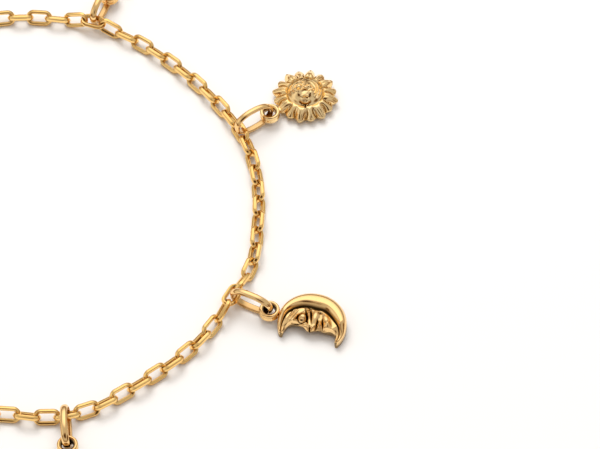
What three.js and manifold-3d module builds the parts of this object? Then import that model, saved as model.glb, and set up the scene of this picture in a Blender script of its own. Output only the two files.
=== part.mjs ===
// A charm bracelet of yellow gold: a cable chain in a closed loop with a plain clasp, and four charms on rings.
// Millimetres, +Z up. It lies on the plane z = 0, with the middle of its bounding box over the origin.
import * as THREE from 'three';
import { mergeVertices } from 'three/addons/utils/BufferGeometryUtils.js';
import Module from 'manifold-3d';

const wasm = await Module();
wasm.setup();

// Cable link
const LINK_INNER_LENGTH = 2.335;
const LINK_OUTER_WIDTH = 2.08;
const LINK_WIRE = 0.58; // across the wire, in the plane of the link
const LINK_DEPTH = 0.7; // across the wire, out of the plane of the link
const LINK_BITE = 0.055; // how far neighbouring links are fused into each other
const LINK_STEPS = 10; // even and not a multiple of 4, so that each corner belongs to one end
const LINK_ROLL = 45; // degrees, to one side and the other in turn
const HELD_ROLL = 2; // degrees, of a low link that the charm ring lifts
const BESIDE_HELD_ROLL = 58; // degrees, of the links on both sides of it
const HELD_LIFT = 0.7;

const LOOP_SIZE = 61.5; // across the loop, from the clasp to the opposite links

// The route of the chain as it lies, seen from above, clockwise from the clasp, in shares of the loop's size
const ROUTE = [
  [-0.5000, -0.0073],
  [-0.4634, 0.1919],
  [-0.3382, 0.3707],
  [-0.1789, 0.4699],
  [-0.0293, 0.5016],
  [0.0488, 0.5008],
  [0.1545, 0.4813],
  [0.2520, 0.4309],
  [0.3707, 0.3252],
  [0.4634, 0.1951],
  [0.4911, 0.1089],
  [0.5000, 0.0317],
  [0.4976, -0.0472],
  [0.4894, -0.1268],
  [0.4650, -0.1854],
  [0.4114, -0.2813],
  [0.3626, -0.3431],
  [0.2407, -0.4390],
  [0.1740, -0.4780],
  [0.1008, -0.4943],
  [0.0244, -0.4870],
  [-0.1301, -0.4748],
  [-0.3057, -0.3951],
  [-0.4390, -0.2374],
];

// Oval charm ring, a band with a flat inside and a rounded outside
const RING_LENGTH = 5.62;
const RING_HEIGHT = 3.5;
const BAND_WIDTH = 0.9;
const BAND_THICKNESS = 0.42;
const RING_ROUNDNESS = 2.3; // 2 is an ellipse, more is squarer
const RING_STEPS = 18;

// Eyelet that hangs on the ring, the same on every charm
const EYELET_HOLE = 1.72;
const EYELET_WALL = 0.45;
const EYELET_HEIGHT = 0.7;
const EYELET_MIDDLE_HEIGHT = 1.2;
const EYELET_SLACK = 0.1; // how far the eyelet hangs back towards the chain on its ring
const EYELET_STEPS = 12;
const NECK_WIDTH = 0.95;
const NECK_HEIGHT = 0.6;
const NECK_OVERLAP = 0.25; // how far the neck runs into the eyelet and the charm
const EYELET_IN_CHARM = 0.1; // how far the eyelet's outside is sunk into the charm's nominal edge

// Sun charm
const SUN_TIP_RADIUS = 4.2;
const SUN_SMALL_TIP_RADIUS = 4.0;
const SUN_VALLEY_RADIUS = 3.5;
const SUN_FACE_RADIUS = 2.05;
const SUN_FACE_EDGE_HEIGHT = 1.75;
const SUN_DOME = 0.5;
const SUN_GROOVE_HEIGHT = 1.3;
const SUN_RAY_HEIGHT = 1.55;
const SUN_TIP_HEIGHT = 0.85;
const SUN_TIP_UNDERSIDE = 0.35;
const SUN_BACK_RADIUS = 2.7;
const SUN_VALLEY_DEPTH = 0.32;
const SUN_VEIN_DEPTH = 0.12;
const RAY_PAIRS = 8;
const STEPS_PER_RAY = 4;
const SUN_FACE_UP = 71; // degrees from the line between eyelet and middle to the top of the face

// Moon charm
const MOON_RADIUS = 4.2;
const MOON_RIM_WIDTH = 1.45;
const MOON_RIM_SHARE = 0.6; // the most of the crescent's width that the rim takes up, by the horns
const MOON_RIM_HEIGHT = 2.2;
const MOON_FACE_HEIGHT = 1.7;
const MOON_GROOVE_HEIGHT = 1.3;
const MOON_EDGE_HEIGHT = 0.8;
const MOON_UNDERSIDE = 0.3;
const MOON_HORN_HEIGHT = 1.15;
const MOON_HORN_START = 215; // degrees from the line between eyelet and middle, to the horn by the eyelet
const MOON_HORN_END = -25; // and to the far horn
const MOON_STEPS = 24;

// Plain domed discs
const DISC_RADIUS = 3.7;
const DISC_EDGE_HEIGHT = 0.8;
const DISC_HEIGHT = 1.8;
const DISC_STEPS = 20;

// Clasp
const CLASP_BODY_LENGTH = 6.6;
const CLASP_BODY_WIDTH = 3.0;
const CLASP_EYE_HOLE = 1.2;
const CLASP_EYE_WALL = 0.36;
const CLASP_EYE_HEIGHT = 0.4;
const CLASP_EYE_OVERLAP = 0.3; // how far each eye sits in the body
const CLASP_STEPS = 12;

// Where each charm hangs: the share of the chain's links, the ring's turn from square to the chain, its lean,
// and the swing of the charm from the ring's direction, in degrees
const CHARM_PLACES = {
  top: { share: 2 / 7, turn: -4, lean: 5, swing: 4 },
  sun: { share: 3 / 7, turn: 7.5, lean: 7, swing: 0 },
  moon: { share: 4 / 7, turn: 2, lean: -5, swing: 7 },
  bottom: { share: 5 / 7, turn: -8, lean: -8, swing: 0 },
};

const GOLD = { color: 0xe0a856, roughness: 0.2, metalness: 1 };
const UP = new THREE.Vector3(0, 0, 1);
const JOIN_TOLERANCE = 0.002; // corners closer than this become one when solids are joined

const radians = (degrees) => THREE.MathUtils.degToRad(degrees);
const mix = (from, to, share) => from + (to - from) * share;

// Merges a geometry's shared corners, drops its empty triangles and turns its faces out
function closed(geometry) {
  geometry.deleteAttribute('normal');
  geometry.deleteAttribute('uv');
  const merged = mergeVertices(geometry, 1e-5);
  const place = merged.attributes.position;
  const corners = Array.from(merged.index.array);
  const faces = [];
  for (let i = 0; i < corners.length; i += 3) {
    const [a, b, c] = corners.slice(i, i + 3);
    if (a !== b && b !== c && c !== a) faces.push([a, b, c]);
  }
  const corner = (index) => new THREE.Vector3().fromBufferAttribute(place, index);
  const volume = faces.reduce((sum, [a, b, c]) => sum + corner(a).dot(corner(b).cross(corner(c))), 0);
  const outward = volume > 0 ? faces : faces.map(([a, b, c]) => [a, c, b]);
  merged.setIndex(outward.flat());
  return merged;
}

// A solid that can be joined and cut
function solid(geometry) {
  const mesh = closed(geometry);
  const manifold = new wasm.Manifold(new wasm.Mesh({
    numProp: 3,
    vertProperties: new Float32Array(mesh.attributes.position.array),
    triVerts: new Uint32Array(mesh.index.array),
  }));
  return manifold.setTolerance(JOIN_TOLERANCE);
}

// The geometry of a joined solid
function geometryOf(manifold) {
  const mesh = manifold.getMesh();
  const geometry = new THREE.BufferGeometry();
  geometry.setAttribute('position', new THREE.BufferAttribute(mesh.vertProperties, 3));
  geometry.setIndex(new THREE.BufferAttribute(mesh.triVerts, 1));
  return geometry;
}

// Moves every corner of a geometry
function reshape(geometry, move) {
  const place = geometry.attributes.position;
  const corner = new THREE.Vector3();
  for (let i = 0; i < place.count; i += 1) {
    corner.fromBufferAttribute(place, i);
    move(corner);
    place.setXYZ(i, corner.x, corner.y, corner.z);
  }
  return geometry;
}

// A solid of revolution about Z from rows of [radius, height]
function turned(profile, steps) {
  const points = profile.map(([radius, height]) => new THREE.Vector2(radius, height));
  return new THREE.LatheGeometry(points, steps).rotateX(Math.PI / 2);
}

// Sections of a link's wire, a ring's band, an eyelet and a clasp's eye: [outward, across] in shares of the sizes
const LINK_SECTION = [[-0.5, -0.32], [-0.5, 0.32], [0.12, 0.5], [0.5, 0], [0.12, -0.5]];
const BAND_SECTION = [[-0.5, -0.46], [-0.5, 0.46], [0.05, 0.5], [0.5, 0.22], [0.5, -0.22], [0.05, -0.5]];
const EYELET_SECTION = [[-0.5, -0.14], [-0.5, 0.14], [0.1, 0.5], [0.5, 0.26], [0.5, -0.26], [0.1, -0.5]];
const CLASP_EYE_SECTION = [[-0.5, -0.25], [-0.5, 0.25], [0, 0.5], [0.5, 0.25], [0.5, -0.25], [0, -0.5]];

// A closed ring of one section round a radius, turned about Z
function sectionRing(section, radius, outward, across, steps) {
  const rows = section.map(([out, side]) => [radius + out * outward, side * across]);
  return turned([...rows, rows[0]], steps);
}

// One link along X in the plane z = 0: a round ring pulled apart at its middle
function linkGeometry() {
  const bend = (LINK_OUTER_WIDTH - LINK_WIRE) / 2;
  const widestCorner = Math.cos(Math.PI / LINK_STEPS);
  const straight = (LINK_INNER_LENGTH - (LINK_OUTER_WIDTH - 2 * LINK_WIRE)) / 2;
  const ring = sectionRing(LINK_SECTION, bend, LINK_WIRE, LINK_DEPTH, LINK_STEPS).rotateZ(Math.PI / 2);
  return reshape(ring, (corner) => {
    corner.x += Math.sign(corner.x) * straight;
    corner.y /= widestCorner;
  });
}

// The height of the chain's middle line over the surface: a rolled link rests on the ridges of its lower side
function linkRestHeight() {
  const sideMiddle = (LINK_OUTER_WIDTH - LINK_WIRE) / 2;
  const roll = radians(LINK_ROLL);
  const reaches = LINK_SECTION.map(([out, side]) =>
    (sideMiddle + out * LINK_WIRE) * Math.sin(roll) + side * LINK_DEPTH * Math.cos(roll));
  return Math.max(...reaches);
}

const PITCH = LINK_INNER_LENGTH + LINK_BITE;
const CHAIN_HEIGHT = linkRestHeight();
const LINK_HALF_OPENING = LINK_OUTER_WIDTH / 2 - LINK_WIRE;
const CLASP_EYE_RADIUS = (CLASP_EYE_HOLE + CLASP_EYE_WALL) / 2;
const CLASP_EYE_OFFSET = CLASP_BODY_LENGTH / 2 + CLASP_EYE_RADIUS + CLASP_EYE_WALL / 2 - CLASP_EYE_OVERLAP;
// From one end joint of the chain to the other, across the clasp
const CLASP_SPAN = 2 * (CLASP_EYE_OFFSET + CLASP_EYE_RADIUS - LINK_HALF_OPENING - LINK_BITE / 2);

// The joints between links: equal steps along the route, which is scaled by the little that makes them fit
function chainJoints() {
  const curve = new THREE.CatmullRomCurve3(
    ROUTE.map(([x, y]) => new THREE.Vector3(x * LOOP_SIZE, y * LOOP_SIZE, 0)), true);
  curve.arcLengthDivisions = 2000;
  const length = curve.getLength();
  const count = Math.round((length - CLASP_SPAN) / PITCH);
  const wanted = count * PITCH + CLASP_SPAN;
  const scale = wanted / length;
  const joints = [];
  for (let i = 0; i <= count; i += 1) {
    const share = (CLASP_SPAN / 2 + i * PITCH) / wanted;
    joints.push(curve.getPointAt(share).multiplyScalar(scale).setZ(CHAIN_HEIGHT));
  }
  return joints;
}

const joints = chainJoints();
const linkCount = joints.length - 1;
const heldLinks = {};
for (const [name, { share }] of Object.entries(CHARM_PLACES)) heldLinks[name] = Math.round(share * linkCount);
const isOuterHigh = (index) => index % 2 === 1;
const isLifted = (index) => Object.values(heldLinks).includes(index) && !isOuterHigh(index);
for (const index of Object.values(heldLinks)) {
  if (isLifted(index)) {
    joints[index].z += HELD_LIFT;
    joints[index + 1].z += HELD_LIFT;
  }
}

// A link's roll about its length: its outer side up on every second link and down on the others
function linkRoll(index) {
  if (isLifted(index)) return HELD_ROLL;
  if (isLifted(index - 1) || isLifted(index + 1)) return BESIDE_HELD_ROLL;
  return isOuterHigh(index) ? LINK_ROLL : -LINK_ROLL;
}

// The place of a link: its middle, and its axes along the chain, outward and up
function linkFrame(index) {
  const middle = joints[index].clone().add(joints[index + 1]).multiplyScalar(0.5);
  const along = joints[index + 1].clone().sub(joints[index]).normalize();
  const outward = UP.clone().cross(along).normalize();
  const up = along.clone().cross(outward);
  return { middle, along, outward, up };
}

function chainSolid() {
  let chain = null;
  for (let index = 0; index < linkCount; index += 1) {
    const { middle, along, outward, up } = linkFrame(index);
    const place = new THREE.Matrix4().makeBasis(along, outward, up).setPosition(middle);
    const roll = new THREE.Matrix4().makeRotationX(radians(linkRoll(index)));
    const link = solid(linkGeometry().applyMatrix4(place.multiply(roll)));
    chain = chain ? chain.add(link) : link;
  }
  return chain;
}

// Half the length of the ring's middle line at a height from its middle
function ovalReach(height) {
  const halfLength = (RING_LENGTH - BAND_THICKNESS) / 2;
  const halfHeight = (RING_HEIGHT - BAND_THICKNESS) / 2;
  const share = Math.abs(height / halfHeight) ** RING_ROUNDNESS;
  return halfLength * (1 - share) ** (1 / RING_ROUNDNESS);
}

// An oval ring in the plane of X and Z about its middle
function ringGeometry() {
  const halfLength = (RING_LENGTH - BAND_THICKNESS) / 2;
  const halfHeight = (RING_HEIGHT - BAND_THICKNESS) / 2;
  const oval = (angle) => {
    const [c, s] = [Math.cos(angle), Math.sin(angle)];
    const power = 2 / RING_ROUNDNESS;
    return new THREE.Vector2(halfLength * Math.sign(c) * Math.abs(c) ** power,
      halfHeight * Math.sign(s) * Math.abs(s) ** power);
  };
  const round = sectionRing(BAND_SECTION, 1, BAND_THICKNESS, BAND_WIDTH, RING_STEPS);
  reshape(round, (corner) => {
    const angle = Math.atan2(corner.y, corner.x) + Math.PI / RING_STEPS;
    const offset = Math.hypot(corner.x, corner.y) - 1;
    const middle = oval(angle);
    const outward = new THREE.Vector2(
      Math.sign(middle.x) * Math.abs(middle.x / halfLength) ** (RING_ROUNDNESS - 1) / halfLength,
      Math.sign(middle.y) * Math.abs(middle.y / halfHeight) ** (RING_ROUNDNESS - 1) / halfHeight,
    ).normalize();
    corner.x = middle.x + outward.x * offset;
    corner.y = middle.y + outward.y * offset;
  });
  return round.rotateX(Math.PI / 2);
}

// Where a charm's ring and eyelet stand: the ring passes the middle of its link and of the eyelet's hole
function charmPlace(name) {
  const { turn, lean, swing } = CHARM_PLACES[name];
  const { middle, outward } = linkFrame(heldLinks[name]);
  const direction = Math.atan2(outward.y, outward.x) + radians(turn);
  const leanAngle = radians(lean);
  const ringHeight = RING_HEIGHT / 2 * Math.cos(leanAngle) + BAND_WIDTH / 2 * Math.sin(Math.abs(leanAngle));
  const along = new THREE.Vector3(Math.cos(direction), Math.sin(direction), 0);
  const sideways = new THREE.Vector3(-Math.sin(direction), Math.cos(direction), 0);
  const belowMiddle = (height) => (ringHeight - height) / Math.cos(leanAngle);
  const toRing = ovalReach(belowMiddle(middle.z));
  const shift = (height) => (ringHeight - height) * Math.tan(leanAngle);
  const ring = middle.clone().addScaledVector(along, toRing).addScaledVector(sideways, shift(middle.z));
  ring.z = ringHeight;
  const toEyelet = ovalReach(belowMiddle(EYELET_MIDDLE_HEIGHT));
  const eyelet = ring.clone().addScaledVector(along, toEyelet - EYELET_SLACK);
  eyelet.addScaledVector(sideways, -shift(EYELET_MIDDLE_HEIGHT));
  eyelet.z = 0;
  return { direction, leanAngle, ring, eyelet, charmDirection: direction + radians(swing) };
}

// The eyelet of a charm at the origin with its neck towards +X, which reaches the charm's edge
function eyeletSolid(reach) {
  const radius = (EYELET_HOLE + EYELET_WALL) / 2;
  const tube = sectionRing(EYELET_SECTION, radius, EYELET_WALL, EYELET_HEIGHT, EYELET_STEPS);
  tube.rotateZ(Math.PI / EYELET_STEPS).translate(0, 0, EYELET_MIDDLE_HEIGHT);
  const start = EYELET_HOLE / 2 + EYELET_WALL - NECK_OVERLAP;
  const neckLength = reach - start;
  const neck = new THREE.CylinderGeometry(0.5, 0.5, neckLength, 8, 1);
  neck.rotateY(Math.PI / 8).rotateZ(Math.PI / 2).scale(1, NECK_WIDTH, NECK_HEIGHT);
  neck.translate(start + neckLength / 2, 0, EYELET_MIDDLE_HEIGHT);
  return solid(tube).add(solid(neck));
}

// From the middle of the eyelet to the charm's nominal edge
const EYELET_REACH = EYELET_HOLE / 2 + EYELET_WALL - EYELET_IN_CHARM;

// The sun's edge at an angle from its middle, and how far across its ray that angle is, from -1 to 1
function sunRay(angle) {
  const pitch = Math.PI / RAY_PAIRS;
  const nearest = Math.round(angle / pitch);
  const across = (angle / pitch - nearest) * 2;
  const tip = Math.abs(nearest) % 2 === 0 ? SUN_TIP_RADIUS : SUN_SMALL_TIP_RADIUS;
  return { edge: mix(tip, SUN_VALLEY_RADIUS, Math.abs(across) ** 1.3), across };
}

// Raised forms of the sun's face: place, half widths and height, in shares of the face's radius
const SUN_FACE_FORMS = [
  { across: -0.42, up: 0.2, wide: 0.26, tall: 0.2, high: 0.13 },
  { across: 0.3, up: 0.2, wide: 0.26, tall: 0.2, high: 0.13 },
  { across: 0, up: 0.02, wide: 0.13, tall: 0.3, high: 0.12 },
  { across: -0.42, up: -0.28, wide: 0.24, tall: 0.22, high: 0.1 },
  { across: 0.4, up: -0.28, wide: 0.24, tall: 0.22, high: 0.1 },
  { across: 0, up: -0.58, wide: 0.24, tall: 0.14, high: 0.09 },
];

// The height of soft bumps at a place, in shares of a size
function relief(forms, across, up) {
  return forms.reduce((sum, form) => {
    const distance = ((across - form.across) / form.wide) ** 2 + ((up - form.up) / form.tall) ** 2;
    return sum + form.high * Math.exp(-distance);
  }, 0);
}

function sunFaceHeight(radius, angle) {
  const fromUp = angle - radians(SUN_FACE_UP);
  const across = -radius * Math.sin(fromUp) / SUN_FACE_RADIUS;
  const up = radius * Math.cos(fromUp) / SUN_FACE_RADIUS;
  const dome = SUN_DOME * (1 - (radius / SUN_FACE_RADIUS) ** 2);
  return SUN_FACE_EDGE_HEIGHT + dome + relief(SUN_FACE_FORMS, across, up) * SUN_FACE_RADIUS;
}

// Rows of the sun from the middle of its front over the edge to the middle of its back: at is a share of the
// face's radius, of the way from the face to the edge, or of the back's radius
const SUN_ROWS = [
  { zone: 'face', at: 0 },
  { zone: 'face', at: 0.25 },
  { zone: 'face', at: 0.5 },
  { zone: 'face', at: 0.75 },
  { zone: 'face', at: 0.96 },
  { zone: 'groove', at: 0.08 },
  { zone: 'ray', at: 0.35 },
  { zone: 'ray', at: 0.72 },
  { zone: 'ray', at: 1 },
  { zone: 'underside', at: 1 },
  { zone: 'back', at: 1 },
  { zone: 'back', at: 0 },
];

function sunPoint(row, angle) {
  const { edge, across } = sunRay(angle);
  const radius = mix(SUN_FACE_RADIUS, edge, row.at);
  const crest = mix(SUN_RAY_HEIGHT, SUN_TIP_HEIGHT, row.at ** 1.5);
  const valley = SUN_VALLEY_DEPTH * across ** 2;
  const vein = SUN_VEIN_DEPTH * Math.max(0, 1 - 3 * Math.abs(across));
  const faceRadius = row.at * SUN_FACE_RADIUS;
  const zones = {
    face: [faceRadius, sunFaceHeight(faceRadius, angle)],
    groove: [radius, SUN_GROOVE_HEIGHT],
    ray: [radius, crest - valley - vein],
    underside: [radius, SUN_TIP_UNDERSIDE],
    back: [row.at * SUN_BACK_RADIUS, 0],
  };
  return zones[row.zone];
}

// The sun with its eyelet, which is at the origin, and its middle on +X
function sunSolid() {
  const last = SUN_ROWS.length - 1;
  const profile = SUN_ROWS.map((row, index) => [index % last === 0 ? 0 : 1, index]);
  const body = turned(profile, 2 * RAY_PAIRS * STEPS_PER_RAY);
  reshape(body, (corner) => {
    const [radius, height] = sunPoint(SUN_ROWS[Math.round(corner.z)], Math.atan2(corner.y, corner.x));
    const [x, y] = [corner.x * radius, corner.y * radius];
    corner.set(x + EYELET_REACH + SUN_TIP_RADIUS, y, height);
  });
  return solid(body).add(eyeletSolid(EYELET_REACH + SUN_TIP_RADIUS - SUN_VALLEY_RADIUS + NECK_OVERLAP));
}

// The inner side of the crescent from the horn by the eyelet to the far horn: at is the share of the way along the
// outer side that lies opposite, x and y are shares of the moon's radius
const MOON_INNER_SIDE = [
  { at: 0, x: -0.72, y: -0.57 },
  { at: 0.07, x: -0.7, y: -0.39 },
  { at: 0.2, x: -0.53, y: -0.23 },
  { at: 0.38, x: -0.24, y: -0.23 },
  { at: 0.5, x: 0.01, y: -0.32 },
  { at: 0.59, x: 0.23, y: -0.21 },
  { at: 0.72, x: 0.44, y: -0.19 },
  { at: 0.86, x: 0.66, y: -0.13 },
  { at: 0.94, x: 0.79, y: -0.2 },
  { at: 1, x: 0.855, y: -0.39 },
];

// Raised forms of the moon's face in profile, in shares of its radius
const MOON_FACE_FORMS = [
  { across: -0.33, up: -0.05, wide: 0.15, tall: 0.1, high: 0.05 },
  { across: -0.21, up: 0.2, wide: 0.09, tall: 0.2, high: 0.05 },
  { across: -0.1, up: -0.28, wide: 0.22, tall: 0.08, high: 0.06 },
  { across: 0.02, up: 0, wide: 0.11, tall: 0.28, high: 0.07 },
  { across: 0.2, up: -0.1, wide: 0.05, tall: 0.14, high: 0.06 },
  { across: 0.31, up: -0.08, wide: 0.05, tall: 0.13, high: 0.06 },
  { across: 0.47, up: -0.02, wide: 0.13, tall: 0.2, high: 0.08 },
];

// Corners of the moon's section from its outer side over the front to its inner side and back beneath: at is
// a share of the rim's width, or of the way from the rim to the inner side
const MOON_SECTION = [
  { zone: 'rim', at: 0.3, height: 'back' },
  { zone: 'rim', at: 0, height: 'underside' },
  { zone: 'rim', at: 0.02, height: 'edge' },
  { zone: 'rim', at: 0.2, height: 'front' },
  { zone: 'rim', at: 0.5, height: 'front' },
  { zone: 'rim', at: 0.8, height: 'front' },
  { zone: 'face', at: 0.04, height: 'front' },
  { zone: 'face', at: 0.25, height: 'front' },
  { zone: 'face', at: 0.5, height: 'front' },
  { zone: 'face', at: 0.75, height: 'front' },
  { zone: 'face', at: 0.95, height: 'front' },
  { zone: 'face', at: 1, height: 'edge' },
  { zone: 'face', at: 0.97, height: 'underside' },
  { zone: 'face', at: 0.72, height: 'back' },
];

const moonInnerCurve = new THREE.CatmullRomCurve3(
  MOON_INNER_SIDE.map(({ at, x, y }) => new THREE.Vector3(x * MOON_RADIUS, y * MOON_RADIUS, at)));

// The point of the inner side that lies opposite a share of the outer side
function moonInner(share) {
  const spans = MOON_INNER_SIDE.length - 1;
  const index = Math.min(MOON_INNER_SIDE.findLastIndex(({ at }) => at <= share), spans - 1);
  const [from, to] = [MOON_INNER_SIDE[index].at, MOON_INNER_SIDE[index + 1].at];
  const point = moonInnerCurve.getPoint((index + (share - from) / (to - from)) / spans);
  return new THREE.Vector2(point.x, point.y);
}

function moonOuter(share) {
  const angle = radians(mix(MOON_HORN_START, MOON_HORN_END, share));
  return new THREE.Vector2(MOON_RADIUS * Math.cos(angle), MOON_RADIUS * Math.sin(angle));
}

// The moon's front over its section: a rounded rim, a groove and a domed face, and one round back on the horns
function moonFront(corner, across, width, place) {
  const isRim = corner.zone === 'rim';
  const rimArch = Math.sin(Math.PI * mix(0.08, 0.92, corner.at)) ** 0.6;
  const rimFront = mix(MOON_EDGE_HEIGHT, MOON_RIM_HEIGHT, rimArch);
  const bumps = relief(MOON_FACE_FORMS, place.x / MOON_RADIUS, place.y / MOON_RADIUS) * MOON_RADIUS;
  const faceFront = mix(MOON_GROOVE_HEIGHT, MOON_FACE_HEIGHT, Math.sin(Math.PI * corner.at) ** 0.7) + bumps;
  const round = mix(MOON_UNDERSIDE, MOON_HORN_HEIGHT, Math.sin(Math.PI * mix(0.1, 0.9, across)) ** 0.6);
  const fullness = THREE.MathUtils.smoothstep(width / MOON_RIM_WIDTH, 0.5, 1.9);
  return mix(round, isRim ? rimFront : faceFront, fullness);
}

function moonPoint(corner, share) {
  const [outer, inner] = [moonOuter(share), moonInner(share)];
  const width = outer.distanceTo(inner);
  const rimShare = Math.min(MOON_RIM_WIDTH / width, MOON_RIM_SHARE);
  const across = corner.zone === 'rim' ? corner.at * rimShare : mix(rimShare, 1, corner.at);
  const place = outer.clone().lerp(inner, across);
  const front = moonFront(corner, across, width, place);
  const heights = { back: 0, underside: MOON_UNDERSIDE, edge: MOON_EDGE_HEIGHT, front };
  return new THREE.Vector3(place.x, place.y, heights[corner.height]);
}

// The moon with its eyelet, which is at the origin, and its middle on +X
function moonSolid() {
  const sides = MOON_SECTION.length;
  const tube = new THREE.CylinderGeometry(1, 1, 1, sides, MOON_STEPS, false);
  reshape(tube, (corner) => {
    const share = corner.y + 0.5;
    const turn = Math.atan2(corner.x, corner.z) / (2 * Math.PI) * sides;
    const isCap = Math.hypot(corner.x, corner.z) < 0.5;
    if (isCap) {
      const ring = MOON_SECTION.map((row) => moonPoint(row, share));
      corner.copy(ring.reduce((sum, point) => sum.add(point), new THREE.Vector3()).divideScalar(sides));
    } else {
      corner.copy(moonPoint(MOON_SECTION[(Math.round(turn) + sides) % sides], share));
    }
    corner.x += EYELET_REACH + MOON_RADIUS;
  });
  return solid(tube).add(eyeletSolid(EYELET_REACH + NECK_OVERLAP));
}

// The disc from the middle of its back to the middle of its front: shares of its radius, edge height and dome
const DISC_ROWS = [
  [0, 0, 0],
  [0.9, 0, 0],
  [1, 0.45, 0],
  [1, 1, 0],
  [0.9, 1, 0.42],
  [0.6, 1, 0.82],
  [0, 1, 1],
];

// A plain domed disc with its eyelet, which is at the origin, and its middle on +X
function discSolid() {
  const profile = DISC_ROWS.map(([radius, edge, dome]) =>
    [radius * DISC_RADIUS, edge * DISC_EDGE_HEIGHT + dome * (DISC_HEIGHT - DISC_EDGE_HEIGHT)]);
  const disc = turned(profile, DISC_STEPS).translate(EYELET_REACH + DISC_RADIUS, 0, 0);
  return solid(disc).add(eyeletSolid(EYELET_REACH + NECK_OVERLAP));
}

// The clasp's body from end to end, [radius, along] in shares of half its width and of its length
const CLASP_BODY_ROWS = [
  [0, -0.5],
  [0.5, -0.5],
  [0.82, -0.4],
  [1, -0.15],
  [1, 0.15],
  [0.82, 0.4],
  [0.5, 0.5],
  [0, 0.5],
];

// The clasp along X: a flattened barrel that lies on the surface, with an eye at each end, square to its link
function claspSolid() {
  const profile = CLASP_BODY_ROWS.map(([radius, along]) =>
    [radius * CLASP_BODY_WIDTH / 2, along * CLASP_BODY_LENGTH]);
  const barrel = turned(profile, CLASP_STEPS).rotateY(Math.PI / 2);
  barrel.scale(1, 1, 2 * CHAIN_HEIGHT / CLASP_BODY_WIDTH);
  let clasp = solid(barrel);
  for (const [side, link] of [[-1, linkCount - 1], [1, 0]]) {
    const sizes = [CLASP_EYE_RADIUS, CLASP_EYE_WALL, CLASP_EYE_HEIGHT];
    const eye = sectionRing(CLASP_EYE_SECTION, ...sizes, CLASP_STEPS);
    eye.rotateX(radians(linkRoll(link) + 90));
    clasp = clasp.add(solid(eye.translate(side * CLASP_EYE_OFFSET, 0, 0)));
  }
  return clasp;
}

const gold = () => new THREE.MeshStandardMaterial(GOLD);

// A named piece of the bracelet
function piece(name, geometry) {
  const mesh = new THREE.Mesh(geometry, gold());
  mesh.name = name;
  return mesh;
}

function charmGroup(name, pieceName, body) {
  const { direction, leanAngle, ring, eyelet, charmDirection } = charmPlace(name);
  const band = piece(`ring_${name}`, closed(ringGeometry()));
  band.position.copy(ring);
  band.rotation.set(-leanAngle, 0, direction, 'ZYX');
  const charm = piece(pieceName, geometryOf(body));
  charm.position.copy(eyelet);
  charm.rotation.z = charmDirection;
  const group = new THREE.Group();
  group.add(band, charm);
  return group;
}

function claspMesh() {
  const [from, to] = [joints.at(-1), joints[0]];
  const clasp = piece('clasp', geometryOf(claspSolid()));
  clasp.position.copy(from).add(to).multiplyScalar(0.5);
  clasp.rotation.z = Math.atan2(to.y - from.y, to.x - from.x);
  return clasp;
}

const loop = new THREE.Group();
loop.add(
  piece('chain', geometryOf(chainSolid())),
  claspMesh(),
  charmGroup('top', 'top_charm', discSolid()),
  charmGroup('sun', 'sun_charm', sunSolid()),
  charmGroup('moon', 'moon_charm', moonSolid()),
  charmGroup('bottom', 'bottom_charm', discSolid()),
);

// The whole bracelet, its bounding box centred over the origin and its lowest point on the surface
const bracelet = new THREE.Group();
bracelet.add(loop);
bracelet.updateMatrixWorld(true);
const box = new THREE.Box3().setFromObject(loop, true);
const middle = box.getCenter(new THREE.Vector3());
loop.position.set(-middle.x, -middle.y, -box.min.z);

export default bracelet;
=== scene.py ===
"""Looks of a gold charm bracelet that lies on a pale surface. Sizes are in millimetres, as in the CAD source."""
import logging
import math
from dataclasses import dataclass, field, replace
from enum import Enum

import bpy
import numpy as np
from mathutils import Matrix, Vector


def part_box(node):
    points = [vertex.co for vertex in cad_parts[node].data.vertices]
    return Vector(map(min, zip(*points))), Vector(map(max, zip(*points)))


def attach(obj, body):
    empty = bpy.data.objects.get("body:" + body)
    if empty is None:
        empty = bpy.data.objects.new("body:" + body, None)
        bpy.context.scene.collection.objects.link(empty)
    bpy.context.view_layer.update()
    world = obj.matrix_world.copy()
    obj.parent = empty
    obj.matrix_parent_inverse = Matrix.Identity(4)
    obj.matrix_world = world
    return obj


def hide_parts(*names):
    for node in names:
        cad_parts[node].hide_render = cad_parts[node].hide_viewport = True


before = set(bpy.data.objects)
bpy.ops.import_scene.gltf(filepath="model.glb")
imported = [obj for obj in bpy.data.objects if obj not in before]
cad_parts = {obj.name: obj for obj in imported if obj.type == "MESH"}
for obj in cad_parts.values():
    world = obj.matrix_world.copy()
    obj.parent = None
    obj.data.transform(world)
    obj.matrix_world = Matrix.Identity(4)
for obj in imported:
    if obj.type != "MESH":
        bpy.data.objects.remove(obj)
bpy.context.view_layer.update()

LOG = logging.getLogger("bracelet")
MM = 0.001
Colour = tuple[float, float, float, float]
Section = tuple[tuple[float, float], ...]

MIX_INPUTS, MIX_OUTPUT = (0, 6, 7), 2  # a mix node's sockets for colours: the share, both colours and their mix
SCRATCHES = ((0.4, 14.0), (-0.9, 9.0), (1.9, 18.0))  # each set's turn in radians, and how long it is drawn
SCRATCH_SHARE = (0.6, 0.74)  # the noise value where a scratch begins and is full
SCRATCH_WEAR = 0.35
WEAR_SHARE = (0.3, 0.95)  # the wear where the gold is glossiest and dullest
CLOUD_SHARE = (0.35, 0.7)  # the noise value where the gold begins to get paler and is palest


def mix(start: np.ndarray | float, end: np.ndarray | float, share: np.ndarray | float) -> np.ndarray | float:
    """Returns the value that lies the share of the way from start to end."""
    return start + (end - start) * share


def smooth(value: np.ndarray | float, low: float, high: float) -> np.ndarray | float:
    """Returns 0 below low, 1 above high and a soft step between."""
    share = np.clip((value - low) / (high - low), 0, 1)
    return share * share * (3 - 2 * share)


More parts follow.
